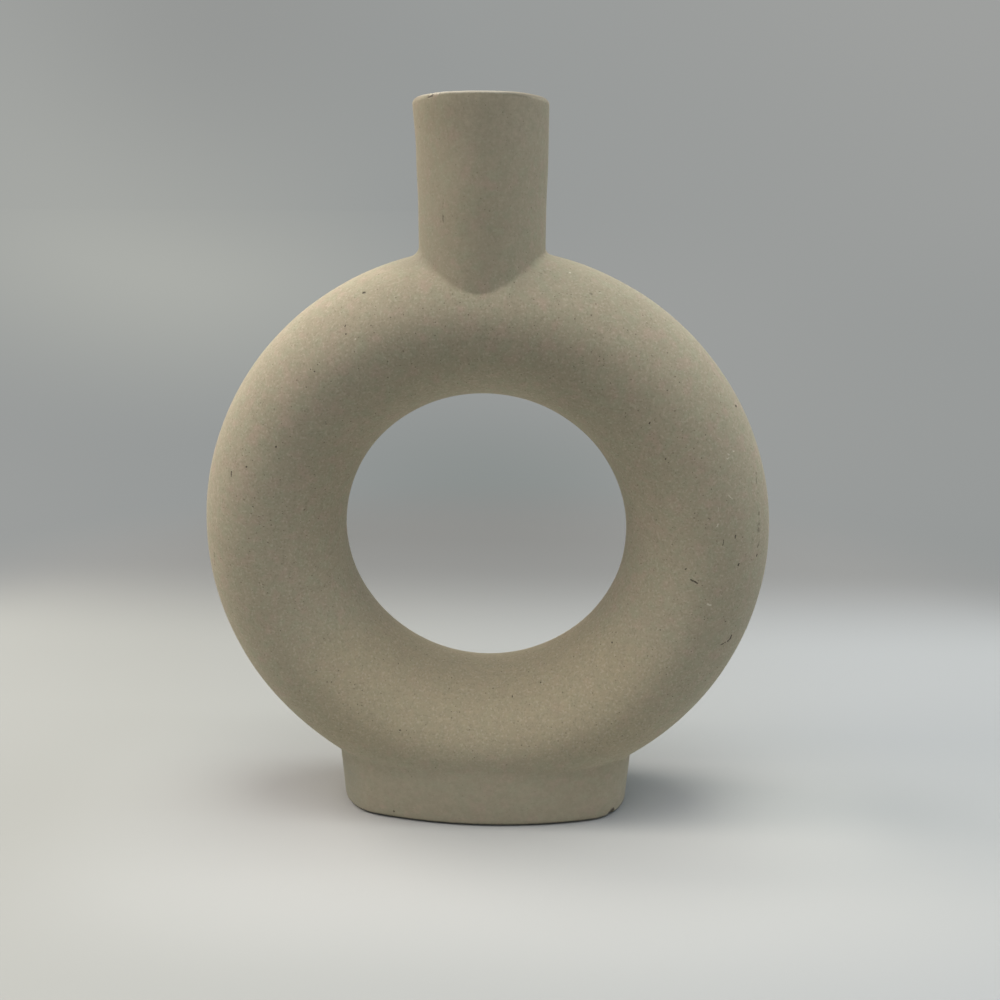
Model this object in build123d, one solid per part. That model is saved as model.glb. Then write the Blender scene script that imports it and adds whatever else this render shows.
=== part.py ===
from build123d import *
from math import radians, sqrt, tan
import os

# Donut vase: a hollow ring of fired clay that stands on a low oval foot and carries a straight round neck.
# Millimetres. +Z is up, the ring's eye looks along Y, and the origin is on the table under the ring's centre.
# The clay pieces are joined with thin layers of slip, as they are when the clay is leather-hard.

# Driving sizes of the ring
ring_radius = 75.0          # from the ring's centre to the middle line of its tube
tube_radius = 24.7          # outside of the tube
ring_wall = 4.5
ring_lift = 5.3             # height of the ring's lowest point above the table

# Driving sizes of the neck
neck_rise = 47.8            # height of the lip above the top of the ring
neck_inset = 3.1            # how far the tube stands out past the neck, front and back
neck_wall = 4.0
neck_shift = 1.1            # how far the neck stands to the left of the ring's centre
lip_round = 1.5
lip_round_limit_share = 0.45

# Driving sizes of the foot
foot_half_length = 53.0     # at the table
foot_inset = 2.7            # how far the tube stands out past the foot's lower edge, front and back
foot_end_tuck = 4.4         # how much smaller the radius of the oval's ends is than its half depth
foot_draft = 4.4            # degrees that the wall leans out as it rises
foot_wall = 5.0
foot_edge_round = 1.0
base_thickness = 3.5
vent_radius = 3.2           # the kiln vent in the base
vent_offset = 32.0          # from the middle of the base

# Driving sizes of the joints and the lining
slip_thickness = 0.6
glaze_thickness = 0.5
glaze_stop = 1.0            # how far below the lip's rounding the glaze ends

# Sizes that follow from these
ring_height = ring_lift + tube_radius + ring_radius
ring_outer_radius = ring_radius + tube_radius
hollow_radius = tube_radius - ring_wall
tube_line_top = ring_height + ring_radius
tube_line_bottom = ring_height - ring_radius
lip_height = ring_height + ring_outer_radius + neck_rise
lip_radius = min(lip_round, lip_round_limit_share * neck_wall)
neck_radius = tube_radius - neck_inset
bore_radius = neck_radius - neck_wall
glaze_top = lip_height - lip_radius - glaze_stop
foot_half_depth = tube_radius - foot_inset
foot_end_radius = foot_half_depth - foot_end_tuck
foot_lean = tan(radians(foot_draft))
base_top = ring_lift - slip_thickness
base_bottom = base_top - base_thickness


# Shapes that the pieces share

def ring_tube(radius):
    """The solid ring whose tube has this radius."""
    return Pos(0, 0, ring_height) * Rot(90, 0, 0) * Torus(ring_radius, radius)


def neck_rod(radius, top):
    """A round rod on the neck's axis, from the middle line of the ring's tube up to this height."""
    height = top - tube_line_top
    return Pos(-neck_shift, 0, tube_line_top + height / 2) * Cylinder(radius, height)


def oval(half_length, half_depth, end_radius):
    """A flat oval of four tangent arcs: a tight one at each end and a long one on each side."""
    end_centre = half_length - end_radius
    side_radius = (end_centre**2 + half_depth**2 - end_radius**2) / (2 * (half_depth - end_radius))
    reach = end_radius / (side_radius - end_radius)
    join_x = end_centre * (1 + reach)
    join_y = (side_radius - half_depth) * reach
    right = ThreePointArc((join_x, -join_y), (half_length, 0), (join_x, join_y))
    back = ThreePointArc((join_x, join_y), (0, half_depth), (-join_x, join_y))
    left = ThreePointArc((-join_x, join_y), (-half_length, 0), (-join_x, -join_y))
    front = ThreePointArc((-join_x, -join_y), (0, -half_depth), (join_x, -join_y))
    return make_face([right, back, left, front])


def foot_meeting_height():
    """The height at which the ends of the foot reach the ring, seen from the front."""
    height = 0
    for _ in range(12):
        half_length = foot_half_length + foot_lean * height
        height = ring_height - sqrt(ring_outer_radius**2 - half_length**2)
    return height


def foot_block(inset):
    """The foot's leaning oval block, taken in by the inset all round, up to where the ring hides its top."""
    flat = oval(foot_half_length - inset, foot_half_depth - inset, foot_end_radius - inset)
    height = max(tube_line_bottom, foot_meeting_height())
    return extrude(flat, amount=height, dir=(0, 0, 1), taper=-foot_draft)


def level_slab(bottom, top):
    """A level slab wider than the vase, which keeps what lies between two heights."""
    width = 4 * ring_outer_radius
    return Pos(0, 0, (bottom + top) / 2) * Box(width, width, top - bottom)


def upright_slab(front, back):
    """A slab across the ring, which keeps what lies between two depths."""
    width = 4 * ring_outer_radius
    return Pos(0, (front + back) / 2, ring_height) * Box(width, back - front, width)


def slip_bed(wall):
    """The layer of slip between a wall's saddle and the outside of the ring."""
    return wall & (ring_tube(tube_radius + slip_thickness) - ring_tube(tube_radius))


def neck_collar():
    """The neck's plain round wall, before its lip is rounded and its saddle is cut."""
    return neck_rod(neck_radius, lip_height) - neck_rod(bore_radius, lip_height)


# The pieces

def hollow_ring():
    """The ring's wall with the hole that leads up into the neck."""
    return ring_tube(tube_radius) - ring_tube(hollow_radius) - neck_rod(bore_radius, lip_height)


def ring_front_shell():
    """The half of the ring that faces the viewer, open at the back until it is joined."""
    return hollow_ring() & upright_slab(-2 * tube_radius, -slip_thickness / 2)


def ring_back_shell():
    """The matching half behind the joint."""
    return hollow_ring() & upright_slab(slip_thickness / 2, 2 * tube_radius)


def ring_slip_seam():
    """The two flat rings of slip that join the half shells, round the outside and round the eye."""
    return hollow_ring() & upright_slab(-slip_thickness / 2, slip_thickness / 2)


def neck():
    """A straight collar with a rounded lip, cut at its lower end to sit astride the ring."""
    lip_edges = neck_collar().edges().group_by(Axis.Z)[-1]
    return fillet(lip_edges, lip_radius) - ring_tube(tube_radius + slip_thickness)


def neck_slip_seam():
    """The bed of slip between the neck's saddle and the ring."""
    return slip_bed(neck_collar())


def foot_skirt():
    """The foot's oval wall, cut at the top to carry the ring."""
    outside = foot_block(0)
    rim = outside.edges().group_by(Axis.Z)[0]
    wall = fillet(rim, foot_edge_round) - foot_block(foot_wall)
    return wall - ring_tube(tube_radius + slip_thickness)


def foot_slip_seam():
    """The bed of slip between the foot's upper edge and the ring."""
    return slip_bed(foot_block(0) - foot_block(foot_wall))


def base_plate():
    """The oval floor that closes the foot, with the hole that lets air out in the kiln."""
    plate = foot_block(foot_wall + slip_thickness) & level_slab(base_bottom, base_top)
    middle = (base_bottom + base_top) / 2
    return plate - Pos(vent_offset, 0, middle) * Cylinder(vent_radius, 2 * base_thickness)


def base_slip_seam():
    """The band of slip that joins the base plate to the inside of the foot."""
    band = foot_block(foot_wall) - foot_block(foot_wall + slip_thickness)
    return band & level_slab(base_bottom, base_top)


def glaze_lining():
    """The thin coat of glaze inside the ring and the neck, which holds the water."""
    coat = ring_tube(hollow_radius) + neck_rod(bore_radius, glaze_top)
    water_radius = hollow_radius - glaze_thickness
    stem_radius = bore_radius - glaze_thickness
    return coat - (ring_tube(water_radius) + neck_rod(stem_radius, lip_height))


pieces = {
    "ring_front_shell": ring_front_shell,
    "ring_back_shell": ring_back_shell,
    "ring_slip_seam": ring_slip_seam,
    "neck": neck,
    "neck_slip_seam": neck_slip_seam,
    "foot_skirt": foot_skirt,
    "foot_slip_seam": foot_slip_seam,
    "base_plate": base_plate,
    "base_slip_seam": base_slip_seam,
    "glaze_lining": glaze_lining,
}

os.makedirs("parts", exist_ok=True)
for name, make in pieces.items():
    export_step(make(), f"parts/{name}.step")
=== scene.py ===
from math import acos, atan2, cos, exp, hypot, pi, radians, sin, sqrt, tan

import bpy
from mathutils import Matrix, Vector, noise


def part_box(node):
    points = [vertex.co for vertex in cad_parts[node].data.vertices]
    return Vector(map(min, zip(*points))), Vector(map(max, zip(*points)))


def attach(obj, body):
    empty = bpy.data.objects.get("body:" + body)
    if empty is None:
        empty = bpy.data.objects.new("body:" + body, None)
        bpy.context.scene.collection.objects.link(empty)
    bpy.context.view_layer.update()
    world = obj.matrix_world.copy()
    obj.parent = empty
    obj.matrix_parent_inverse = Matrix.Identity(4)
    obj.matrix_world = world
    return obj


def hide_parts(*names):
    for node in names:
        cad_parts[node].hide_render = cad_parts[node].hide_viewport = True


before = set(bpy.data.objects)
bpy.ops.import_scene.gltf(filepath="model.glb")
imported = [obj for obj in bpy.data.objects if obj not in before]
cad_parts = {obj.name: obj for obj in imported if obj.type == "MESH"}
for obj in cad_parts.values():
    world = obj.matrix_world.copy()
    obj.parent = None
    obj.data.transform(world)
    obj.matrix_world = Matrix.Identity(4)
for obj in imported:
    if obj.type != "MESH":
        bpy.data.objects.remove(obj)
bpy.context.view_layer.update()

# The donut vase as it was fired: the ring, the neck and the foot are one matt, speckled body, so their
# skins share one material. Lengths are metres in the frame's axes. The tables and the materials are in
# millimetres, from the table up and from the middle to the right.
mm = 0.001
noise.seed_set(43)              # so that every run moves the walls the same way

# Sizes of the construction
seam_low, seam_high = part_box("ring_slip_seam")
shell_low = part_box("ring_front_shell")[0]
neck_low, neck_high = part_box("neck")
outer_radius = (seam_high.x - seam_low.x) / 2
tube_radius = -shell_low.y
ring_radius = outer_radius - tube_radius
ring_z = seam_low.z + outer_radius
ring_wall = 4.5 * mm
neck_x = (neck_low.x + neck_high.x) / 2
neck_radius = (neck_high.x - neck_low.x) / 2
neck_wall = 4.0 * mm
bore_radius = neck_radius - neck_wall
lip_z = neck_high.z
foot_half_length = 53.0 * mm    # at the table
foot_half_depth = 22.0 * mm
foot_end_radius = 17.6 * mm     # of the oval's tight ends
foot_lean = radians(4.4)        # how far the wall leans out as it rises
foot_wall = 5.0 * mm

# The thrown line of the neck
flare_mean = 0.6 * mm           # how far the lip opens out
flare_lean = 0.45 * mm          # how much more it does so on the left than in front
flare_height = 18 * mm          # over what height below the lip
neck_waist = 0.45 * mm          # how much slimmer the neck is above the joint, at its sides
neck_swell = 0.5 * mm           # how much fuller it is there, front and back

# The lip, crisp in front and behind and worn at the sides
lip_sink = 0.4 * mm             # how much lower than the drawn height the lip came out
lip_crest = lip_z - lip_sink
lip_inside = 1.4 * mm           # the rounding towards the bore
lip_outside_front = 0.8 * mm    # how far the outer rounding reaches in, front and back
lip_outside_side = 3.0 * mm     # and at the sides
lip_drop_front = 0.8 * mm       # how far it reaches down, front and back
lip_drop_side = 2.3 * mm        # and at the sides
wear_from_share = 0.40          # how far out to the sides the wear begins, as a share of the radius
wear_blend_share = 0.55         # and over what share it grows to the full
lip_nicks = [                   # turn, half width and depth of the small chips
    (radians(226), 0.7 * mm, 0.30 * mm),
    (radians(236), 0.4 * mm, 0.20 * mm),
    (radians(66), 1.2 * mm, 0.35 * mm),
    (radians(331), 0.7 * mm, 0.15 * mm),
]

# The coves of smoothed slip round the joints, and the foot's lower edge
neck_cove_front = 2.2 * mm
neck_cove_left = 4.0 * mm
neck_cove_right = 2.2 * mm
smear_share = 0.45              # how unevenly the slip was smeared round the neck, as a share of the cove
smears_around = 7               # how closely the smears follow each other
foot_cove_front = 5.0 * mm
foot_cove_end = 0.9 * mm
foot_cove_turn = 49.0 * mm      # how far out the foot's cove begins to change from one to the other
foot_cove_blend = 3.6 * mm      # and over what length
feather = 0.7 * mm              # how far the slip thins out over the ring past a cove
feather_share = 0.6             # where on that way it reaches the ring's surface
bury = 0.25 * mm                # how deep a skin's last edge lies in the ring's wall
foot_edge = 1.9 * mm            # the rounding of the foot's lower edge
foot_inner_edge = foot_edge / 2         # the rounding inside
foot_chip = (47.1, 1.0, 0.9)    # place right of the middle, half width and height of the chip, in mm

# How firing moved the walls: in slow waves and in quick ones, but not at the table
slow_wave = 62 * mm
slow_depth = 0.42 * mm
quick_wave = 17 * mm
quick_depth = 0.10 * mm
quick_start = Vector((3.1, 7.7, 1.9))   # keeps the quick waves apart from the slow ones
free_height = 14 * mm           # from this height up a wall moves freely
upright_share = 0.7             # how much it moves up and down, as a share of how much it moves aside

# How fine the skins are
ring_steps = 320
tube_steps = 112
inner_ring_steps = 160
inner_tube_steps = 48
drill_steps = 128
neck_steps = 320
neck_wall_steps = 26
lip_steps = 9
neck_cove_steps = 10
foot_steps = 420
foot_cove_steps = 8
foot_wall_steps = 14
foot_edge_steps = 6
foot_inner_edge_steps = 4
foot_inner_wall_steps = 5
fold_angle = radians(38)        # sharper folds than this are shaded as edges

# Colours of the clay
sand = (0.510, 0.452, 0.330)
sand_deep = (0.468, 0.408, 0.294)
sand_dull = (0.400, 0.352, 0.252)
sand_pale = (0.564, 0.504, 0.378)
sand_green = (0.475, 0.458, 0.325)
sand_pink = (0.548, 0.440, 0.340)
sand_warm = (0.530, 0.446, 0.292)
# a darker clay tone, laid as painted shade
sand_painted_shade = (0.292, 0.295, 0.234)
# a paler clay tone, laid as painted light
sand_painted_light = (0.600, 0.532, 0.402)
grain_dark = (0.228, 0.190, 0.132)
grain_light = (0.744, 0.678, 0.528)
# dark iron specks, and the dark of the painted shade
iron_and_painted_shade = (0.072, 0.058, 0.043)
fleck = (0.780, 0.735, 0.610)
# a painted highlight on the front of the lip, and painted shade at its sides
painted_lip_highlight = (0.640, 0.600, 0.505)
painted_lip_shade = (0.270, 0.240, 0.185)

# Colours of the glaze
glaze_thin = (0.50, 0.44, 0.33)
glaze_pooled = (0.42, 0.36, 0.25)
glaze_iron = (0.16, 0.12, 0.08)

# Clouds and grain: the size, the noise's detail and seed, the levels of the noise between which one comes
# in, how strong it gets, and its colour
wide_clouds = [
    (30, 3, 5, (0.35, 0.70), 0.60, sand_deep),
    (9, 3, 11, (0.50, 0.75), 0.35, sand_pale),
    (4, 2, 57, (0.40, 0.70), 0.80, sand_green),
    (5, 2, 71, (0.50, 0.75), 0.80, sand_pink),
]
mottle = (1.9, 2, 91)
small_clouds = [
    (3.2, 2, 63, (0.35, 0.65), 0.20, sand_dull),
    (*mottle, (0.35, 0.65), 0.25, sand_dull),
]
grains = [
    (0.75, 1.5, 2, (0.50, 0.75), 0.28, grain_dark),
    (0.85, 1.5, 31, (0.50, 0.75), 0.30, grain_light),
]
glaze_clouds = [(12, 3, 9, (0.35, 0.70), 1.0, glaze_pooled)]

# Specks: the size of the cells that hold one each, the share of the cells that keep theirs, the smallest
# and the largest radius, and the seed
dots = (1.3, 0.25, 0.12, 0.28, 3)
dots_strength = 0.50
spots = (4.5, 0.30, 0.12, 0.32, 17)
spots_strength = 0.65
flecks = (7.5, 0.15, 0.15, 0.35, 29)
flecks_strength = 0.60
glaze_dots = (2.0, 0.30, 0.12, 0.30, 23)
glaze_dots_strength = 0.50

# Washes of another tone: the colour, its strength and its limits. A limit is an axis, the place along it
# where the wash is nothing, and the place where it is full.
# a real warm tone first, then painted light and painted shade
clay_tones_and_painted_light = [
    # a warm band low on the ring
    (sand_warm, 0.55, [("Z", 20, 38), ("Z", 82, 64), ("X", -75, -45), ("X", 75, 45)]),
    # painted light on the neck's front below the lip
    (sand_painted_light, 0.50, [("X", -15, -3), ("X", 24, 12), ("Z", 226, 244)]),
    # painted light low on the foot, a little
    (sand_painted_light, 0.30, [("Z", 30, 12)]),
    # painted shade on the foot's left end
    (sand_painted_shade, 0.90, [("X", -39, -52), ("Z", 28, 13)]),
    # painted shade on the neck's left side
    (sand_painted_shade, 0.45, [("X", -6, -24), ("Z", 254, 208), ("Z", 196, 201)]),
]

# Where a sponge took the grain away: the heights between which this changes, and how much grain is left
foot_sponged = (14, 36)
foot_grain_share = 0.35
neck_sponged = (186, 206)
neck_grain_share = 0.55

# The painted highlight and painted shade of the lip, and the painted contact shade at the foot's lower
# edge: how far below the lip's crest the lip's tones begin and are full, and between which heights the
# contact shade fades away
lip_front = [("X", -25, -13), ("X", 16, 4)]
lip_highlight_below = (0.9, 0.4)
lip_highlight_strength = 0.75
lip_shade_below = (1.7, 0.7)
lip_shade_strength = 0.8
contact_shade_heights = (0.4, 1.5)
contact_shade_strength = 0.75

# How the surfaces stand up and sink, in millimetres
grain_lift = 0.04
swell_lift = 0.05
dot_depth = 0.05
mark_depth = 0.25
glaze_lift = 0.25

# How rough the surfaces are, between the low and the high levels of a noise
roughness_levels = (0.3, 0.7)
clay_roughness = (0.78, 0.92)
glaze_roughness = (0.10, 0.22)

# Marks of use on the front, in millimetres and degrees: the place right of the middle and above the
# table, the length, how steeply the mark rises to the right, and its half width
dark_marks = [
    (70.9, 96.5, 2.4, -26, 0.30),
    (68.0, 100.5, 0.4, 50, 0.18),
    (85.4, 74.4, 1.0, 78, 0.36),
    (84.6, 73.3, 1.2, 45, 0.28),
    (82.6, 72.6, 1.8, 20, 0.22),
    (-32.1, 3.3, 0, 0, 0.36),
    (-28.5, 39.1, 0, 0, 0.34),
    (-38.6, 190.6, 0.5, 0, 0.40),
    (-44.0, 180.5, 0.3, 80, 0.20),
    (-43.6, 178.0, 0.2, 30, 0.20),
    (-54.0, 165.8, 0, 0, 0.26),
    (-53.0, 168.2, 0, 0, 0.20),
    (-55.5, 166.5, 0, 0, 0.20),
    (-84.0, 130.2, 1.6, 88, 0.24),
    (-67.5, 140.7, 0, 0, 0.30),
    (-78.2, 133.3, 0.2, 0, 0.28),
    (-76.3, 120.0, 0, 0, 0.24),
    (60.0, 138.5, 0, 0, 0.30),
    (61.0, 137.3, 0, 0, 0.22),
    (74.6, 118.7, 0, 0, 0.24),
    (84.0, 111.8, 0.9, 88, 0.18),
    (80.0, 110.2, 1.8, 86, 0.14),
    (82.5, 81.4, 0, 0, 0.24),
    (70.7, 84.6, 0, 0, 0.24),
    (92.7, 103.6, 0.3, 60, 0.30),
    (84.1, 153.7, 0.3, 0, 0.36),
    (54.4, 150.5, 0.6, 70, 0.20),
    (46.7, 153.5, 0, 0, 0.24),
    (85.7, 101.9, 0.6, 60, 0.26),
    (-11.3, 53.0, 0, 0, 0.26),
    (10.9, 48.9, 0.4, 80, 0.22),
    (20.7, 53.6, 0, 0, 0.26),
    (16.4, 55.2, 0, 0, 0.22),
    (45.1, 70.3, 0.2, 70, 0.24),
    (32.3, 62.4, 0, 0, 0.24),
    # painted shade in the chip at the foot's lower edge
    (47.1, 1.8, 1.0, 30, 1.00),
    (-16.2, 251.1, 1.4, 12, 0.50),
    (-13.2, 251.5, 0.2, 0, 0.30),
    (13.5, 197.7, 0.2, 0, 0.20),
]
scrapes = [
    (76.3, 88.2, 1.2, -20, 0.30),
    (81.8, 125.5, 1.7, -45, 0.19),
    (77.7, 116.2, 1.0, 62, 0.20),
    (77.7, 121.8, 1.4, 90, 0.12),
    (80.6, 139.7, 0.5, -25, 0.22),
    (82.6, 140.3, 0.3, 20, 0.20),
    (80.4, 138.4, 0.3, 10, 0.22),
    (73.5, 90.4, 0, 0, 0.20),
    (-40.4, 176.6, 0, 0, 0.24),
    (28.1, 197.4, 0.3, 20, 0.26),
    (20.6, 198.6, 0.1, 0, 0.18),
]
rubs = [
    (91.6, 130.0, 3.2, 90, 0.40),
    (92.8, 115.0, 8.0, 90, 0.60),
    (93.1, 107.2, 1.6, 60, 0.45),
    (-12.3, 216.5, 7.0, 90, 0.30),
    (32.8, 16.0, 6.0, -6, 0.80),
    (19.1, 197.6, 0.8, 10, 0.70),
    (34.0, 190.7, 1.4, 20, 0.60),
    (-93.6, 97.8, 5.0, 86, 0.40),
]
mark_strength = 0.85
mark_full_share = 0.5           # a mark is full out to this share of its half width
mark_gone_share = 1.4           # and gone at this one
mark_sway = 0.9                 # how far a mark's edge sways in all
mark_sway_size = 1 / 1.4        # about how far apart its bends are
rub_levels = (0.42, 0.60)       # the levels of the mottle between which a rub comes in
rub_strengths = (0.05, 0.45)

# The setting: a floor that melts into a grey backdrop
floor_size = 40
# the floor's left and right tinted and shaded as warm light from the left and cool light from the right
# fall: painted light
floor_left = (0.350, 0.358, 0.340)
floor_right = (0.364, 0.382, 0.388)
# a painted pool of light round the vase
floor_painted_pool = (0.450, 0.460, 0.450)
# painted light inside the vase's shadow right of the foot
floor_painted_fill = (0.570, 0.575, 0.550)
floor_grey = (0.225, 0.230, 0.228)
# painted shade on the floor behind the vase
floor_painted_shade = (0.120, 0.125, 0.122)
floor_turn = (-160, 160)        # where its colour turns from the left one to the right one
floor_limits = [("X", -520, -380), ("X", 520, 380), ("Y", -425, -300), ("Y", 247, 122)]     # then grey
floor_washes = [
    # painted pool of light round the vase
    (floor_painted_pool, 1.0, [("X", -190, -40), ("X", 330, 90), ("Y", -110, -50), ("Y", 52, -8)]),
    # painted light in the vase's shadow right of the foot
    (floor_painted_fill, 1.0, [("X", -4, 76), ("X", 162, 82), ("Y", -50, -12), ("Y", 32, -6)]),
]
# the painted shade on the floor behind the vase
behind_limits = [("X", -360, -100), ("X", 240, -20)]
behind_depths = (60, 290)       # how far back the floor's darker stretch begins and is full
behind_strength = 0.5
outlook_half = 500              # how far out a floor place's outlook is half as long as a direction
backdrop_reach = (300, 450)     # how far out the floor begins to look like the backdrop, and does so fully
backdrop_dim = (0.295, 0.310, 0.308)
backdrop_pale = (0.345, 0.352, 0.345)
backdrop_size = 1 / 1.1
backdrop_detail = 1
backdrop_levels = (0.3, 0.7)
# lighter and darker patches: painted light and shade on the backdrop
backdrop_patches = [            # direction, how far it reaches, strength and colour
    ((-0.34, 0.80, -0.02), 0.35, 0.8, (0.440, 0.448, 0.415)),
    ((-0.30, 0.93, 0.17), 0.25, 0.6, (0.280, 0.286, 0.282)),
    ((-0.02, 0.44, 0.00), 0.22, 0.8, (0.250, 0.272, 0.265)),
]

# The light: a round lamp has its name, its direction from the vase in degrees, round it from the front and
# up, the half angle that it fills, its radiance and its colour
lamp_distance = 1.6
ceiling_way = Vector((-0.10, -0.12, 1))
ceiling_size_shares = (1.80, 0.84)
ceiling_radiance = 2.05
ceiling_colour = (0.98, 0.94, 1)
round_lamps = [
    ("overhead", 120, 87, 17, 5.8, (0.97, 1, 0.90)),
    ("window", -94, 45, 16, 8.7, (1, 0.88, 0.77)),
    ("fill", 100, 30, 18, 1.6, (0.68, 0.84, 1)),
]
world_colour = (0.90, 0.97, 1, 1)
world_strength = 0.21

# The photograph's camera: how far it stands off and how high, and its angles in radians
camera_away = 340.54 * mm
camera_height = 220.0 * mm
camera_turn = -0.0556           # round the vase from straight in front
camera_yaw = 0.0151             # aside from the vase's axis
camera_pitch = 0.2362           # down
camera_roll = 0.0045
focal_px = 1000                 # its focal length and the picture's size in pixels
axis_row_px = 440.65            # the row that the lens looks at straight
image_px = 1000
film_width = 36                 # millimetres, as lenses are given
near_clip = 0.01


# Small helpers

def ease(value):
    """A smooth step from 0 to 1."""
    value = min(1.0, max(0.0, value))
    return value * value * (3 - 2 * value)


def flat_ring_point(x, z):
    """The point of the ring's middle line nearest to a place."""
    reach = hypot(x, z - ring_z)
    return Vector((x * ring_radius / reach, 0, ring_z + (z - ring_z) * ring_radius / reach))


def on_ring(point, lift=0.0):
    """The point of the ring's wall nearest to a place, raised by a lift."""
    middle = flat_ring_point(point.x, point.z)
    return middle + (point - middle).normalized() * (tube_radius + lift)


def ring_gap(point, radius):
    """How far a point is outside a ring wall of this tube radius."""
    return (point - flat_ring_point(point.x, point.z)).length - radius


def ring_top(flat, radius):
    """The height of a ring wall of this tube radius, straight above a place near the ring's top."""
    rho = ring_radius + sqrt(radius**2 - flat.y**2)
    return ring_z + sqrt(rho**2 - flat.x**2)


def front_point(x, z):
    """The point of the vase's outside that faces the viewer at a place seen from the front."""
    middle = flat_ring_point(x, z)
    aside = hypot(x - middle.x, z - middle.z)
    if aside < tube_radius:
        return Vector((x, -sqrt(tube_radius**2 - aside**2), z))
    if z > ring_z:
        radius = neck_radius + neck_flare(-acos((x - neck_x) / neck_radius), z)
        return Vector((x, -sqrt(radius**2 - (x - neck_x)**2), z))
    rays = [oval_ray(k / foot_steps) for k in range(foot_steps)]
    place, out = min((ray for ray in rays if ray[0].y < 0), key=lambda ray: abs(ray[0].x - x))
    return foot_wall_point(place, out, z)


def wander(point):
    """Where firing leaves a point of the ideal shape."""
    slow = noise.noise_vector(point / slow_wave) * slow_depth
    quick = noise.noise_vector(point / quick_wave + quick_start) * quick_depth
    hold = min(1.0, max(0.0, point.z / free_height))
    shift = slow + quick
    return point + Vector((shift.x * hold, shift.y * hold, shift.z * hold * upright_share))


def add_piece(name, points, faces, material, stands_for):
    """A finished piece of stoneware: mesh, smooth shading with sharp folds, body, slot and nodes."""
    mesh = bpy.data.meshes.new(name)
    mesh.from_pydata(points, [], faces)
    mesh.validate()
    mesh.shade_smooth()
    mesh.set_sharp_from_angle(angle=fold_angle)
    mesh.materials.append(material)
    piece = bpy.data.objects.new(name, mesh)
    bpy.context.scene.collection.objects.link(piece)
    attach(piece, "root")
    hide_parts(*stands_for)
    return piece


def grid_faces(rows, columns, start=0, flip=False):
    """Quads of a grid whose rows and columns both close on themselves."""
    faces = []
    for i in range(rows):
        for j in range(columns):
            a = start + i * columns + j
            b = start + i * columns + (j + 1) % columns
            c = start + (i + 1) % rows * columns + (j + 1) % columns
            d = start + (i + 1) % rows * columns + j
            faces.append((a, d, c, b) if flip else (a, b, c, d))
    return faces


def fired_skin(columns):
    """Points and faces of a closed band of closed outlines, as firing leaves them."""
    points = [wander(point) for column in columns for point in column]
    return points, grid_faces(len(columns), len(columns[0]), flip=True)


# Shader nodes

def node(tree, kind, **settings):
    """A shader node with its settings. A setting called in_1 fills the input with that number."""
    made = tree.nodes.new(kind)
    for key, value in settings.items():
        if key.startswith("in_"):
            made.inputs[int(key[3:])].default_value = value
        else:
            setattr(made, key, value)
    return made


def new_material(name):
    """An empty material with its tree, its shader and its object coordinates in millimetres."""
    material = bpy.data.materials.new(name)
    material.use_nodes = True
    tree = material.node_tree
    shader = tree.nodes["Principled BSDF"]
    place = node(tree, "ShaderNodeTexCoord")
    scaled = node(tree, "ShaderNodeVectorMath", operation="SCALE")
    scaled.inputs["Scale"].default_value = 1 / mm
    tree.links.new(place.outputs["Object"], scaled.inputs[0])
    return material, tree, shader, scaled.outputs[0]


def axes(tree, place):
    """The X, Y and Z of a place."""
    parts = node(tree, "ShaderNodeSeparateXYZ")
    tree.links.new(place, parts.inputs[0])
    return parts.outputs


def shifted(tree, place, x, y, z):
    """A place moved by a fixed amount, which gives each noise a stretch of its own."""
    made = node(tree, "ShaderNodeVectorMath", operation="ADD", in_1=(x, y, z))
    tree.links.new(place, made.inputs[0])
    return made.outputs[0]


def grain(tree, place, size, detail, seed):
    """Noise about as coarse as a size, from 0 to 1."""
    made = node(tree, "ShaderNodeTexNoise")
    made.inputs["Scale"].default_value = 1 / size
    made.inputs["Detail"].default_value = detail
    tree.links.new(shifted(tree, place, seed, seed * 1.7, -seed), made.inputs["Vector"])
    return made.outputs["Fac"]


def ranged(tree, value, levels, results=(0, 1), smooth=True):
    """A value between two levels spread between two results, and held at its ends."""
    made = node(tree, "ShaderNodeMapRange", interpolation_type="SMOOTHSTEP" if smooth else "LINEAR")
    names = ("From Min", "From Max", "To Min", "To Max")
    for name, number in zip(names, (*levels, *results)):
        made.inputs[name].default_value = number
    tree.links.new(value, made.inputs["Value"])
    return made.outputs["Result"]


def math_node(tree, kind, first, second):
    """A sum, product or the like of two values, each a socket or a number."""
    made = node(tree, "ShaderNodeMath", operation=kind)
    for socket, value in zip(made.inputs, (first, second)):
        if isinstance(value, (int, float)):
            socket.default_value = value
        else:
            tree.links.new(value, socket)
    return made.outputs[0]


def lay(tree, below, colour, mask, strength=1.0):
    """One colour laid over another where a mask lets it, up to a strength, which may be a mask too."""
    made = node(tree, "ShaderNodeMix", data_type="RGBA")
    tree.links.new(math_node(tree, "MULTIPLY", mask, strength), made.inputs["Factor"])
    first, second = [socket for socket in made.inputs if socket.type == "RGBA"]
    if isinstance(below, tuple):
        first.default_value = (*below, 1)
    else:
        tree.links.new(below, first)
    second.default_value = (*colour, 1)
    return [socket for socket in made.outputs if socket.type == "RGBA"][0]


def within(tree, sides, limits):
    """A mask that is full inside limits, each an axis, where the mask is nothing and where it is full."""
    mask = None
    for axis, nothing, full in limits:
        levels, results = ((nothing, full), (0, 1)) if nothing < full else ((full, nothing), (1, 0))
        one = ranged(tree, sides[axis], levels, results)
        mask = one if mask is None else math_node(tree, "MULTIPLY", mask, one)
    return mask


def lay_washes(tree, colour, sides, washes):
    """Washes laid over a colour one after another."""
    for tone, strength, limits in washes:
        colour = lay(tree, colour, tone, within(tree, sides, limits), strength)
    return colour


def lay_clouds(tree, colour, place, clouds, share=1.0):
    """Clouds or grain laid over a colour one after another, each weakened to a share."""
    for size, detail, seed, levels, strength, tone in clouds:
        amount = ranged(tree, grain(tree, place, size, detail, seed), levels, (0, strength))
        colour = lay(tree, colour, tone, amount, share)
    return colour


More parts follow.
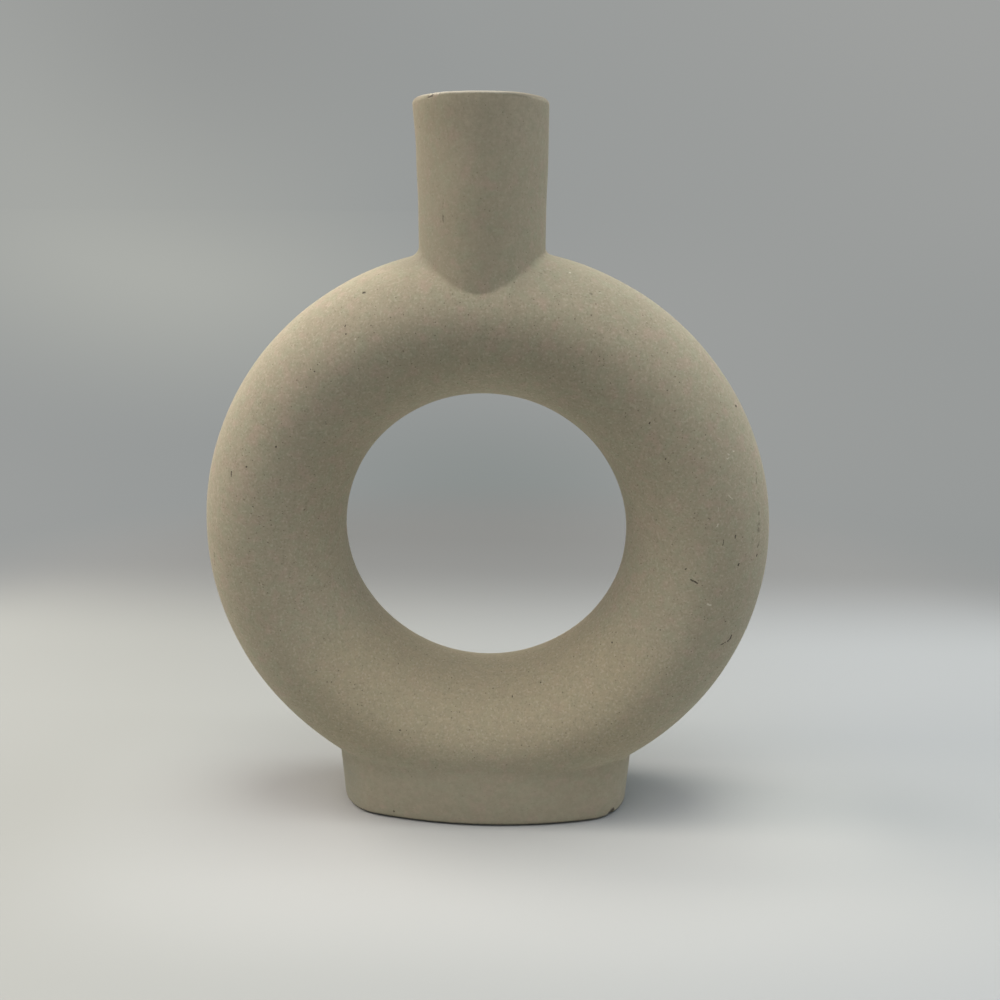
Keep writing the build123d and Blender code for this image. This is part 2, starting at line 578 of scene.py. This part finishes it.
def specks(tree, place, cell, share, small, large, seed):
    """A mask of round grains: one in each cell of a size, kept in a share of the cells."""
    share_blur = 0.01
    edge_blur = (-0.02, 0.05)   # about a grain's edge, as shares of the cell
    cells = node(tree, "ShaderNodeTexVoronoi")
    cells.inputs["Scale"].default_value = 1 / cell
    tree.links.new(shifted(tree, place, seed, -seed, seed * 0.6), cells.inputs["Vector"])
    chances = node(tree, "ShaderNodeSeparateColor")
    tree.links.new(cells.outputs["Color"], chances.inputs[0])
    keep = ranged(tree, chances.outputs[0], (share, share + share_blur), (1, 0))
    size = ranged(tree, chances.outputs[1], (0, 1), (small / cell, large / cell), smooth=False)
    inside = ranged(tree, math_node(tree, "SUBTRACT", size, cells.outputs["Distance"]), edge_blur)
    return math_node(tree, "MULTIPLY", inside, keep)


def swayed(tree, place):
    """A place moved a little by noise, so that what is drawn there gets an uneven edge."""
    warp = node(tree, "ShaderNodeTexNoise")
    warp.inputs["Scale"].default_value = 1 / mark_sway_size
    tree.links.new(place, warp.inputs["Vector"])
    bend = node(tree, "ShaderNodeVectorMath", operation="MULTIPLY_ADD")
    bend.inputs[1].default_value = (mark_sway,) * 3
    bend.inputs[2].default_value = (-mark_sway / 2,) * 3
    tree.links.new(warp.outputs["Color"], bend.inputs[0])
    moved = node(tree, "ShaderNodeVectorMath", operation="ADD")
    tree.links.new(place, moved.inputs[0])
    tree.links.new(bend.outputs[0], moved.inputs[1])
    return moved.outputs[0]


def stroke(tree, place, middle, arm, radius):
    """A mask of one mark: a short rounded stroke about a place, in millimetres."""
    start = middle - arm / 2
    offset = node(tree, "ShaderNodeVectorMath", operation="SUBTRACT", in_1=start)
    tree.links.new(place, offset.inputs[0])
    nearest = offset.outputs[0]
    if arm.length > 0:
        along = node(tree, "ShaderNodeVectorMath", operation="DOT_PRODUCT", in_1=arm / arm.length_squared)
        tree.links.new(nearest, along.inputs[0])
        share = ranged(tree, along.outputs["Value"], (0, 1), smooth=False)
        back = node(tree, "ShaderNodeVectorMath", operation="SCALE", in_0=arm)
        tree.links.new(share, back.inputs["Scale"])
        across = node(tree, "ShaderNodeVectorMath", operation="SUBTRACT")
        tree.links.new(nearest, across.inputs[0])
        tree.links.new(back.outputs[0], across.inputs[1])
        nearest = across.outputs[0]
    reach = node(tree, "ShaderNodeVectorMath", operation="LENGTH")
    tree.links.new(nearest, reach.inputs[0])
    fade = (radius * mark_full_share, radius * mark_gone_share)
    return ranged(tree, reach.outputs["Value"], fade, (1, 0))


def strokes(tree, place, marks):
    """A mask of many marks on the front, the strongest one at each place."""
    mask = None
    for x, z, length, rise, half_width in marks:
        reach = length / 2 * mm
        across, up = reach * cos(radians(rise)), reach * sin(radians(rise))
        start = wander(front_point(x * mm - across, z * mm - up)) / mm
        end = wander(front_point(x * mm + across, z * mm + up)) / mm
        one = stroke(tree, place, (start + end) / 2, end - start, half_width)
        mask = one if mask is None else math_node(tree, "MAXIMUM", mask, one)
    return mask


def lay_relief(tree, shader, layers, strength):
    """The surface's relief, the sum of masks that each lift it by so many millimetres."""
    height = None
    for mask, lift in layers:
        one = math_node(tree, "MULTIPLY", mask, lift)
        height = one if height is None else math_node(tree, "ADD", height, one)
    bump = node(tree, "ShaderNodeBump")
    bump.inputs["Strength"].default_value = strength
    bump.inputs["Distance"].default_value = mm
    tree.links.new(height, bump.inputs["Height"])
    tree.links.new(bump.outputs[0], shader.inputs["Normal"])


# The materials of the vase

def coarseness(tree, sides):
    """How much grain is left, all of it but where the sponge went."""
    foot = ranged(tree, sides["Z"], foot_sponged, (foot_grain_share, 1))
    neck = ranged(tree, sides["Z"], neck_sponged, (1, neck_grain_share))
    return math_node(tree, "MULTIPLY", foot, neck)


def lay_edge_light_and_shade(tree, colour, sides):
    """The lip, with a painted highlight in front and painted shade at its sides, and painted contact shade
    along the edge at the table.
    """
    rim = lip_crest / mm
    front = within(tree, sides, lip_front)
    side = math_node(tree, "SUBTRACT", 1, front)
    # painted highlight along the front of the lip
    lip_highlight = within(tree, sides, [("Z", rim - lip_highlight_below[0], rim - lip_highlight_below[1])])
    lip_highlight = math_node(tree, "MULTIPLY", lip_highlight, lip_highlight_strength)
    colour = lay(tree, colour, painted_lip_highlight, lip_highlight, front)
    # painted shade along the lip's sides
    lip_shade = within(tree, sides, [("Z", rim - lip_shade_below[0], rim - lip_shade_below[1])])
    lip_shade = math_node(tree, "MULTIPLY", lip_shade, lip_shade_strength)
    colour = lay(tree, colour, painted_lip_shade, lip_shade, side)
    # painted contact shade along the foot's lower edge, near the table
    return lay(tree, colour, iron_and_painted_shade, ranged(tree, sides["Z"], contact_shade_heights, (contact_shade_strength, 0)))


def make_stoneware():
    """Matt, sandy stoneware with clouds, sponged grain and specks, the marks of use, and painted light and
    shade.
    """
    material, tree, shader, place = new_material("stoneware")
    sides = axes(tree, place)
    uneven = swayed(tree, place)
    coarse = coarseness(tree, sides)
    dotted = math_node(tree, "MULTIPLY", specks(tree, place, *dots), coarse)
    marked = strokes(tree, uneven, dark_marks)
    broken = ranged(tree, grain(tree, place, *mottle), rub_levels, rub_strengths)

    colour = lay_clouds(tree, sand, place, wide_clouds)
    # real tones, and painted light and shade on the neck and the foot
    colour = lay_washes(tree, colour, sides, clay_tones_and_painted_light)
    colour = lay_clouds(tree, colour, place, small_clouds)
    colour = lay_clouds(tree, colour, place, grains, coarse)
    colour = lay(tree, colour, iron_and_painted_shade, dotted, dots_strength)
    colour = lay(tree, colour, iron_and_painted_shade, specks(tree, place, *spots), spots_strength)
    colour = lay(tree, colour, fleck, specks(tree, place, *flecks), flecks_strength)
    colour = lay(tree, colour, iron_and_painted_shade, strokes(tree, uneven, rubs), broken)
    colour = lay(tree, colour, fleck, strokes(tree, uneven, scrapes), mark_strength)
    colour = lay(tree, colour, iron_and_painted_shade, marked, mark_strength)
    colour = lay_edge_light_and_shade(tree, colour, axes(tree, uneven))
    tree.links.new(colour, shader.inputs["Base Color"])

    patches = grain(tree, place, size=2.5, detail=3, seed=7)
    rough = ranged(tree, patches, roughness_levels, clay_roughness)
    tree.links.new(rough, shader.inputs["Roughness"])
    shader.inputs["Specular IOR Level"].default_value = 0.3
    shader.inputs["Diffuse Roughness"].default_value = 0.7
    grit = grain(tree, place, size=0.6, detail=2, seed=41)
    swell = grain(tree, place, size=2.2, detail=2, seed=43)
    grit_lift = math_node(tree, "MULTIPLY", coarse, grain_lift)
    layers = [(grit, grit_lift), (swell, swell_lift), (dotted, -dot_depth), (marked, -mark_depth)]
    lay_relief(tree, shader, layers, strength=0.9)
    return material


def make_glaze():
    """The glossy coat inside, pooled a little darker in places."""
    material, tree, shader, place = new_material("inner_glaze")
    colour = lay_clouds(tree, glaze_thin, place, glaze_clouds)
    colour = lay(tree, colour, glaze_iron, specks(tree, place, *glaze_dots), glaze_dots_strength)
    tree.links.new(colour, shader.inputs["Base Color"])
    patches = grain(tree, place, size=6, detail=2, seed=13)
    rough = ranged(tree, patches, roughness_levels, glaze_roughness)
    tree.links.new(rough, shader.inputs["Roughness"])
    ripple = grain(tree, place, size=7, detail=2, seed=19)
    lay_relief(tree, shader, [(ripple, glaze_lift)], strength=0.4)
    return material


# The ring

def torus_points(radius, around, across):
    """The points of a ring wall whose tube has this radius."""
    points = []
    for i in range(around):
        turn = 2 * pi * i / around
        for j in range(across):
            roll = 2 * pi * j / across
            reach = ring_radius + radius * cos(roll)
            point = Vector((reach * sin(turn), radius * sin(roll), ring_z + reach * cos(turn)))
            points.append(wander(point))
    return points


def make_ring(stoneware):
    """The ring's hollow wall, with the round hole that leads up into the neck."""
    outside = torus_points(tube_radius, ring_steps, tube_steps)
    inside = torus_points(tube_radius - ring_wall, inner_ring_steps, inner_tube_steps)
    faces = grid_faces(ring_steps, tube_steps)
    faces += grid_faces(inner_ring_steps, inner_tube_steps, start=len(outside), flip=True)
    stands_for = ["ring_front_shell", "ring_back_shell", "ring_slip_seam"]
    ring = add_piece("ring_body", outside + inside, faces, stoneware, stands_for)
    bpy.ops.mesh.primitive_cylinder_add(vertices=drill_steps, radius=bore_radius, depth=3 * tube_radius,
                                        location=(neck_x, 0, ring_z + outer_radius))
    drill = bpy.context.object
    cut = ring.modifiers.new("hole", "BOOLEAN")
    cut.operation = "DIFFERENCE"
    cut.solver = "EXACT"
    cut.object = drill
    graph = bpy.context.evaluated_depsgraph_get()
    mesh = bpy.data.meshes.new_from_object(ring.evaluated_get(graph))
    ring.modifiers.clear()
    ring.data = mesh
    bpy.data.objects.remove(drill)


# The coves

def cove_points(wall_point, centre, foot_point, steps):
    """Points along the arc about a centre from the ring's wall up to the neck's or the foot's."""
    flat_angle = 1e-5
    start = foot_point - centre
    end = wall_point - centre
    angle = start.angle(end)
    points = []
    for k in range(steps + 1):
        share = k / steps
        if angle < flat_angle:
            points.append(foot_point.lerp(wall_point, share))
            continue
        arm = (start * sin((1 - share) * angle) + end * sin(share * angle)) / sin(angle)
        points.append(centre + arm)
    return points


def cove_column(wall, centre, steps):
    """An outline's first points: out of the ring's wall, over the thin end of the slip and up the cove."""
    touch = on_ring(centre)
    away = (touch - wall).normalized()
    column = [on_ring(touch + away * feather, -bury), on_ring(touch + away * feather * feather_share)]
    return column + cove_points(wall, centre, touch, steps)


# The neck

def neck_flare(turn, z):
    """How far the neck leaves a straight cylinder: slim above the joint, opening out at the lip."""
    flare = flare_mean - flare_lean * cos(turn)
    waist = neck_waist * cos(turn)**2 - neck_swell * sin(turn)**2
    from_flare = (z - lip_z + flare_height) / flare_height
    return flare * ease(from_flare) - waist * ease(-from_flare)


def lip_rounding(turn):
    """How far the lip's outer rounding reaches in and down."""
    share = ease((abs(cos(turn)) - wear_from_share) / wear_blend_share)
    reach = lip_outside_front + (lip_outside_side - lip_outside_front) * share
    drop = lip_drop_front + (lip_drop_side - lip_drop_front) * share
    return reach, drop


def lip_nick(turn):
    """How far small chips lower the lip in the direction of a turn."""
    depth = 0.0
    for nick_turn, nick_width, nick_depth in lip_nicks:
        depth = max(depth, nick_depth * exp(-((turn - nick_turn) * neck_radius / nick_width)**4))
    return depth


def neck_point(out, side, z):
    """The place at a distance from the neck's axis and at a height, in an outward direction."""
    return Vector((neck_x, 0, z)) + out * side


def lip_points(turn, out):
    """The lip in one outline: its outer rounding and then the one towards the bore."""
    reach, drop = lip_rounding(turn)
    nick = lip_nick(turn)
    points = []
    for k in range(1, lip_steps + 1):
        angle = k / lip_steps * pi / 2
        z = lip_crest - drop + drop * sin(angle)
        side = neck_radius + neck_flare(turn, z) - reach * (1 - cos(angle)) - nick * sin(angle)
        points.append(neck_point(out, side, z - nick * sin(angle)))
    for k in range(lip_steps + 1):
        angle = k / lip_steps * pi / 2
        side = bore_radius + lip_inside * (1 - sin(angle))
        z = lip_crest - lip_inside * (1 - cos(angle)) - nick * cos(angle)
        points.append(neck_point(out, side, z))
    return points


def neck_column(turn):
    """One closed outline of the neck's wall in the direction of a turn: up, over the lip and down."""
    out = Vector((cos(turn), sin(turn), 0))
    cove_side = neck_cove_left if cos(turn) < 0 else neck_cove_right
    cove = neck_cove_front + (cove_side - neck_cove_front) * cos(turn)**2
    cove *= 1 + smear_share * noise.noise(out * smears_around)
    radius = neck_radius + neck_flare(turn, ring_z + outer_radius)
    centre = neck_point(out, radius + cove, 0)
    centre.z = ring_top(centre, tube_radius + cove)
    column = cove_column(neck_point(out, radius, centre.z), centre, neck_cove_steps)

    low = centre.z
    top = lip_crest - lip_rounding(turn)[1]
    for k in range(1, neck_wall_steps + 1):
        z = low + (top - low) * k / neck_wall_steps
        column.append(neck_point(out, neck_radius + neck_flare(turn, z), z))
    column += lip_points(turn, out)
    top = lip_crest - lip_inside
    low = ring_top(neck_point(out, bore_radius, 0), tube_radius)
    for k in range(1, neck_wall_steps + 1):
        column.append(neck_point(out, bore_radius, top + (low - top) * k / neck_wall_steps))
    edge = neck_point(out, neck_radius - neck_wall / 2, 0)
    edge.z = ring_top(edge, tube_radius - bury)
    column.append(edge)
    return column


def make_neck(stoneware):
    """The straight round neck with its rounded lip and the small cove where it joins the ring."""
    columns = [neck_column(2 * pi * i / neck_steps) for i in range(neck_steps)]
    points, faces = fired_skin(columns)
    add_piece("neck_wall", points, faces, stoneware, ["neck", "neck_slip_seam"])


# The foot

def oval_ray(share):
    """The place and the outward direction at a share of the way round the foot's oval, at the table."""
    end_centre = foot_half_length - foot_end_radius
    slack = foot_half_depth - foot_end_radius
    side_radius = (end_centre**2 + foot_half_depth**2 - foot_end_radius**2) / (2 * slack)
    side_centre = side_radius - foot_half_depth
    corner = atan2(side_centre, end_centre)
    end_arc = foot_end_radius * 2 * corner
    side_arc = side_radius * (pi - 2 * corner)
    half = end_arc + side_arc
    along = share * 2 * half
    flip = along >= half
    along -= half if flip else 0
    if along < end_arc:
        angle = -corner + along / foot_end_radius
        out = Vector((cos(angle), sin(angle), 0))
        place = Vector((end_centre, 0, 0)) + out * foot_end_radius
    else:
        angle = corner + (along - end_arc) / side_radius
        out = Vector((cos(angle), sin(angle), 0))
        place = Vector((0, -side_centre, 0)) + out * side_radius
    return (-place, -out) if flip else (place, out)


def foot_wall_point(place, out, z, inset=0.0):
    """A point of the foot's leaning wall at a height."""
    return place + out * (z * tan(foot_lean) - inset) + Vector((0, 0, z))


def solve_height(measure, low, high):
    """The height at which a measure falls to zero, found by halving."""
    halvings = 40
    for _ in range(halvings):
        middle = (low + high) / 2
        if measure(middle) > 0:
            low = middle
        else:
            high = middle
    return (low + high) / 2


def foot_chip_height(place):
    """How far the chip lifts the foot's lower edge at a place of its oval."""
    x, half_width, height = foot_chip
    if place.y > 0:
        return 0.0
    return height * mm * exp(-((place.x / mm - x) / half_width)**4)


def foot_edge_points(place, out):
    """The lower edge in one outline of the foot: its outer rounding with the chip, then its inner one."""
    chip = foot_chip_height(place)
    points = []
    for k in range(1, foot_edge_steps + 1):
        angle = k / foot_edge_steps * pi / 2
        z = foot_edge * (1 - sin(angle)) + chip * sin(angle)
        inset = foot_edge * (1 - cos(angle)) + chip * sin(angle) / 2
        points.append(foot_wall_point(place, out, z, inset))
    for k in range(foot_inner_edge_steps + 1):
        angle = k / foot_inner_edge_steps * pi / 2
        inset = foot_wall - foot_inner_edge * (1 - sin(angle))
        points.append(foot_wall_point(place, out, foot_inner_edge * (1 - cos(angle)), inset))
    return points


def foot_column(share):
    """One closed outline of the foot's wall: down the inside, under the edge and up the outside."""
    place, out = oval_ray(share)
    normal = out * cos(foot_lean) - Vector((0, 0, sin(foot_lean)))
    turned = ease((abs(place.x) - foot_cove_turn) / foot_cove_blend)
    cove = foot_cove_front + (foot_cove_end - foot_cove_front) * turned

    def ball(z):
        return foot_wall_point(place, out, z) + normal * cove

    def outer_gap(z):
        return ring_gap(ball(z), tube_radius + cove)

    def inner_gap(z):
        return ring_gap(foot_wall_point(place, out, z, foot_wall), tube_radius)

    top = solve_height(outer_gap, 0.0, ring_z - ring_radius)
    column = cove_column(foot_wall_point(place, out, top), ball(top), foot_cove_steps)
    for k in range(1, foot_wall_steps + 1):
        z = top + (foot_edge - top) * k / foot_wall_steps
        column.append(foot_wall_point(place, out, z))
    column += foot_edge_points(place, out)
    top = solve_height(inner_gap, 0.0, ring_z - ring_radius)
    for k in range(1, foot_inner_wall_steps + 1):
        z = foot_inner_edge + (top - foot_inner_edge) * k / foot_inner_wall_steps
        column.append(foot_wall_point(place, out, z, foot_wall))
    return column[::-1]


def make_foot(stoneware):
    """The low oval foot with its rounded lower edge and the small cove where it carries the ring."""
    columns = [foot_column(i / foot_steps) for i in range(foot_steps)]
    points, faces = fired_skin(columns)
    add_piece("foot_wall", points, faces, stoneware, ["foot_skirt", "foot_slip_seam"])


# The setting

def backdrop_grey(tree, outlook):
    """The uneven grey of the backdrop in a direction, or at a place on the floor that melts into it."""
    made = node(tree, "ShaderNodeTexNoise")
    made.inputs["Scale"].default_value = 1 / backdrop_size
    made.inputs["Detail"].default_value = backdrop_detail
    tree.links.new(outlook, made.inputs["Vector"])
    share = ranged(tree, made.outputs["Fac"], backdrop_levels)
    colour = lay(tree, backdrop_dim, backdrop_pale, share)
    # painted light and shade on the backdrop
    for middle, reach, strength, tone in backdrop_patches:
        away = node(tree, "ShaderNodeVectorMath", operation="DISTANCE", in_1=middle)
        tree.links.new(outlook, away.inputs[0])
        colour = lay(tree, colour, tone, ranged(tree, away.outputs["Value"], (0, reach), (strength, 0)))
    return colour


def seen_by_camera(tree):
    """One where a ray comes from the camera, a mirror or glass, and zero where it carries light."""
    path = node(tree, "ShaderNodeLightPath")
    seen = math_node(tree, "MAXIMUM", path.outputs["Is Camera Ray"], path.outputs["Is Glossy Ray"])
    return math_node(tree, "MAXIMUM", seen, path.outputs["Is Transmission Ray"])


def floor_colour(tree, sides):
    """The floor's colour, with painted warm and cool light on its left and right, a painted pool of light,
    painted light in the vase's shadow and painted shade behind.
    """
    # painted warm and cool light across the floor from left to right
    turned = ranged(tree, sides["X"], floor_turn, smooth=False)
    colour = lay(tree, floor_left, floor_right, turned)
    outside = math_node(tree, "SUBTRACT", 1, within(tree, sides, floor_limits))
    colour = lay(tree, colour, floor_grey, outside)
    colour = lay_washes(tree, colour, sides, floor_washes)
    # painted shade on the floor behind the vase
    behind = ranged(tree, sides["Y"], behind_depths, (0, behind_strength), smooth=False)
    return lay(tree, colour, floor_painted_shade, behind, within(tree, sides, behind_limits))


def mix_surface(tree, share, first, second, output):
    """The surface of a material or a world: one shader, with a share of a second one."""
    mix = node(tree, "ShaderNodeMixShader")
    tree.links.new(share, mix.inputs[0])
    tree.links.new(first.outputs[0], mix.inputs[1])
    tree.links.new(second.outputs[0], mix.inputs[2])
    tree.links.new(mix.outputs[0], tree.nodes[output].inputs["Surface"])


def make_floor_material():
    """Matt paint round the vase, which the camera sees melt into the backdrop further out."""
    material, tree, shader, place = new_material("floor")
    tree.links.new(floor_colour(tree, axes(tree, place)), shader.inputs["Base Color"])
    shader.inputs["Roughness"].default_value = 0.9
    shader.inputs["Specular IOR Level"].default_value = 0.1

    away = node(tree, "ShaderNodeVectorMath", operation="LENGTH")
    tree.links.new(place, away.inputs[0])
    reach = away.outputs["Value"]
    shrink = math_node(tree, "DIVIDE", 1, math_node(tree, "ADD", reach, outlook_half))
    outlook = node(tree, "ShaderNodeVectorMath", operation="SCALE")
    tree.links.new(place, outlook.inputs[0])
    tree.links.new(shrink, outlook.inputs["Scale"])
    glow = node(tree, "ShaderNodeEmission")
    tree.links.new(backdrop_grey(tree, outlook.outputs[0]), glow.inputs["Color"])
    far = math_node(tree, "MULTIPLY", ranged(tree, reach, backdrop_reach), seen_by_camera(tree))
    mix_surface(tree, far, shader, glow, "Material Output")
    return material


def make_floor():
    """A pale floor that takes the vase's shadow."""
    bpy.ops.mesh.primitive_plane_add(size=floor_size)
    floor = bpy.context.object
    floor.name = "floor"
    floor.data.materials.append(make_floor_material())


def hang_lamp(name, shape, sizes, radiance, colour, aim, place):
    """A soft lamp of a radiance that faces a point."""
    lamp = bpy.data.lights.new(name, "AREA")
    lamp.shape = shape
    lamp.size, lamp.size_y = sizes
    area = sizes[0] * sizes[1] * (pi / 4 if shape == "DISK" else 1)
    lamp.energy = radiance * pi * area
    lamp.color = colour
    holder = bpy.data.objects.new(name, lamp)
    holder.location = place
    holder.rotation_mode = "QUATERNION"
    holder.rotation_quaternion = (aim - place).to_track_quat("-Z", "Y")
    bpy.context.scene.collection.objects.link(holder)


def hang_disc(name, turn, lift, spread, radiance, colour):
    """A round lamp in a direction from the vase, in degrees, as wide as its half angle says."""
    aim = Vector((0, 0, ring_z))
    turn, lift = radians(turn), radians(lift)
    way = Vector((sin(turn) * cos(lift), -cos(turn) * cos(lift), sin(lift)))
    width = 2 * lamp_distance * tan(radians(spread))
    hang_lamp(name, "DISK", (width, width), radiance, colour, aim, aim + way * lamp_distance)


def make_lights():
    """A soft box and a round lamp overhead, a warm lamp high on the left and a faint one on the right."""
    place = Vector((0, 0, ring_z)) + ceiling_way * lamp_distance
    below = place + Vector((0, 0, -1))
    sizes = [share * lamp_distance for share in ceiling_size_shares]
    hang_lamp("ceiling", "RECTANGLE", sizes, ceiling_radiance, ceiling_colour, below, place)
    for lamp in round_lamps:
        hang_disc(*lamp)


def make_world():
    """Even light from all round, which the camera sees as the grey backdrop."""
    world = bpy.data.worlds.new("studio")
    world.use_nodes = True
    tree = world.node_tree
    light = tree.nodes["Background"]
    light.inputs["Color"].default_value = world_colour
    light.inputs["Strength"].default_value = world_strength
    backdrop = node(tree, "ShaderNodeBackground")
    place = node(tree, "ShaderNodeTexCoord")
    tree.links.new(backdrop_grey(tree, place.outputs["Generated"]), backdrop.inputs["Color"])
    mix_surface(tree, seen_by_camera(tree), light, backdrop, "World Output")
    bpy.context.scene.world = world


def make_camera():
    """The photograph's camera, a little below the height of the lip and turned slightly down."""
    yaw = camera_turn + camera_yaw
    forward = Vector((sin(yaw) * cos(camera_pitch), cos(yaw) * cos(camera_pitch), -sin(camera_pitch)))
    level = Vector((cos(yaw), -sin(yaw), 0))
    upright = level.cross(forward)
    right = level * cos(camera_roll) + upright * sin(camera_roll)
    up = upright * cos(camera_roll) - level * sin(camera_roll)
    lens = bpy.data.cameras.new("camera")
    lens.sensor_width = film_width
    lens.lens = film_width * focal_px / image_px
    lens.shift_y = (axis_row_px - image_px / 2) / image_px
    lens.clip_start = near_clip
    camera = bpy.data.objects.new("camera", lens)
    place = Vector((-camera_away * sin(camera_turn), -camera_away * cos(camera_turn), camera_height))
    turned = Matrix((right, up, -forward)).transposed().to_4x4()
    camera.matrix_world = Matrix.Translation(place) @ turned
    bpy.context.scene.collection.objects.link(camera)
    bpy.context.scene.camera = camera


stoneware = make_stoneware()
glaze = make_glaze()
make_ring(stoneware)
make_neck(stoneware)
make_foot(stoneware)
for name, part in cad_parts.items():
    part.data.materials.clear()
    part.data.materials.append(glaze if name == "glaze_lining" else stoneware)

make_floor()
make_lights()
make_world()
make_camera()
bpy.context.scene.view_settings.view_transform = "Standard"
